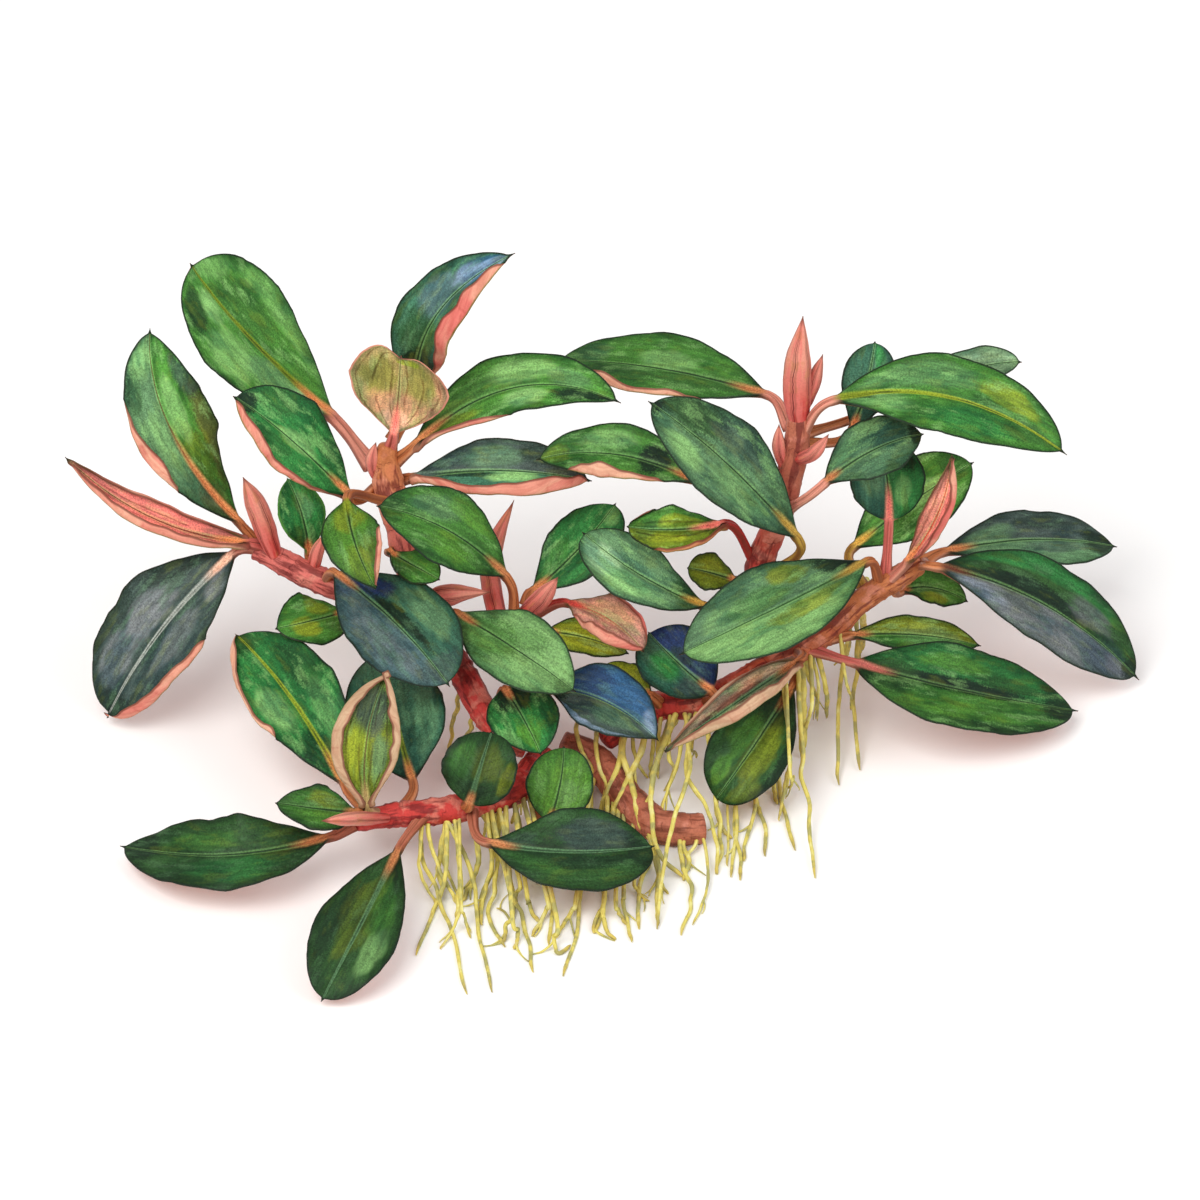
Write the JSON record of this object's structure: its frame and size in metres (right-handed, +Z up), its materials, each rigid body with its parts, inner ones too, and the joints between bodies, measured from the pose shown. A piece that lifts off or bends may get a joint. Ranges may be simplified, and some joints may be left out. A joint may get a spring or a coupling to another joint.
{
  "type": "bucephalandra plant",
  "caption": "Bare-root bucephalandra: creeping red rhizome with forked leafy shoots, oval green, blue and grey leaves, pink young leaves and ochre roots.",
  "frame": {"origin": "centre of the plant's footprint on the surface it rests on", "axes": "+Z up from the surface; +X along the plant's longest spread, towards the right-hand shoot; the hanging roots and the low front leaf point towards -Y"},
  "size_m": [0.2002, 0.1362, 0.0928],
  "materials": {
    "leaf_green": "satin, waxy leaf surface",
    "leaf_bright": "satin, waxy leaf surface",
    "leaf_dark": "satin, waxy leaf surface",
    "leaf_olive": "satin, waxy leaf surface",
    "leaf_teal": "satin, waxy leaf surface",
    "leaf_blue": "satin, waxy leaf surface",
    "leaf_grey": "satin, waxy leaf surface",
    "leaf_young": "satin, waxy leaf surface",
    "stem_red": "smooth fleshy bark",
    "stem_orange": "smooth fleshy bark",
    "old_rhizome": "ringed, dull",
    "root": "dull, fibrous",
    "leaf_underside": "satin"
  },
  "bodies": {
    "root": {"old_rhizome": "old_rhizome", "low_left_rhizome": "stem_red", "left_stem": "stem_red", "centre_shoot": "stem_red", "upper_left_shoot": "stem_orange", "upright_shoot": "stem_red", "right_stem": "stem_orange", "upper_left_leaf_tall": "leaf_green", "upper_left_leaf_emerald": "leaf_green", "upper_left_leaf_blue": "leaf_blue", "upper_left_leaf_heart": "leaf_young", "upper_left_leaf_long": "leaf_green", "upper_left_leaf_folded": "leaf_teal", "upper_left_leaf_hanging": "leaf_olive", "upper_left_leaf_small": "leaf_bright", "left_leaf_tall": "leaf_green", "left_leaf_grey": "leaf_grey", "left_leaf_rolled": "leaf_young", "left_leaf_teal": "leaf_teal", "left_leaf_blue_grey": "leaf_blue", "left_leaf_olive": "leaf_olive", "centre_leaf_bright": "leaf_bright", "centre_leaf_back": "leaf_green", "centre_leaf_curled": "leaf_young", "centre_leaf_yellow": "leaf_olive", "trunk_leaf_light": "leaf_bright", "trunk_leaf_dark": "leaf_green", "trunk_leaf_blue": "leaf_blue", "low_left_leaf_emerald": "leaf_green", "low_left_leaf_teal": "leaf_teal", "low_left_leaf_cupped": "leaf_young", "low_left_leaf_small": "leaf_green", "low_left_leaf_broad": "leaf_dark", "low_left_leaf_hanging": "leaf_dark", "low_left_leaf_round_dark": "leaf_dark", "low_left_leaf_round_bright": "leaf_bright", "low_left_leaf_wide": "leaf_dark", "upright_leaf_top": "leaf_green", "upright_leaf_diagonal": "leaf_teal", "upright_leaf_folded": "leaf_green", "upright_leaf_large": "leaf_green", "upright_leaf_teal": "leaf_teal", "upright_leaf_back": "leaf_teal", "upright_leaf_short": "leaf_teal", "upright_leaf_pale": "leaf_teal", "upright_leaf_rimmed": "leaf_olive", "upright_leaf_olive": "leaf_olive", "right_leaf_heart": "leaf_dark", "right_leaf_back": "leaf_green", "right_leaf_rolled": "leaf_young", "right_leaf_grey_green": "leaf_teal", "right_leaf_grey": "leaf_grey", "right_leaf_small": "leaf_green", "right_leaf_olive": "leaf_olive", "right_leaf_low": "leaf_green", "right_leaf_dark": "leaf_dark", "right_leaf_tan": "leaf_young", "right_leaf_light": "leaf_bright", "right_leaf_navy": "leaf_grey", "right_leaf_yellow": "leaf_olive"}
  },
  "joints": []
}
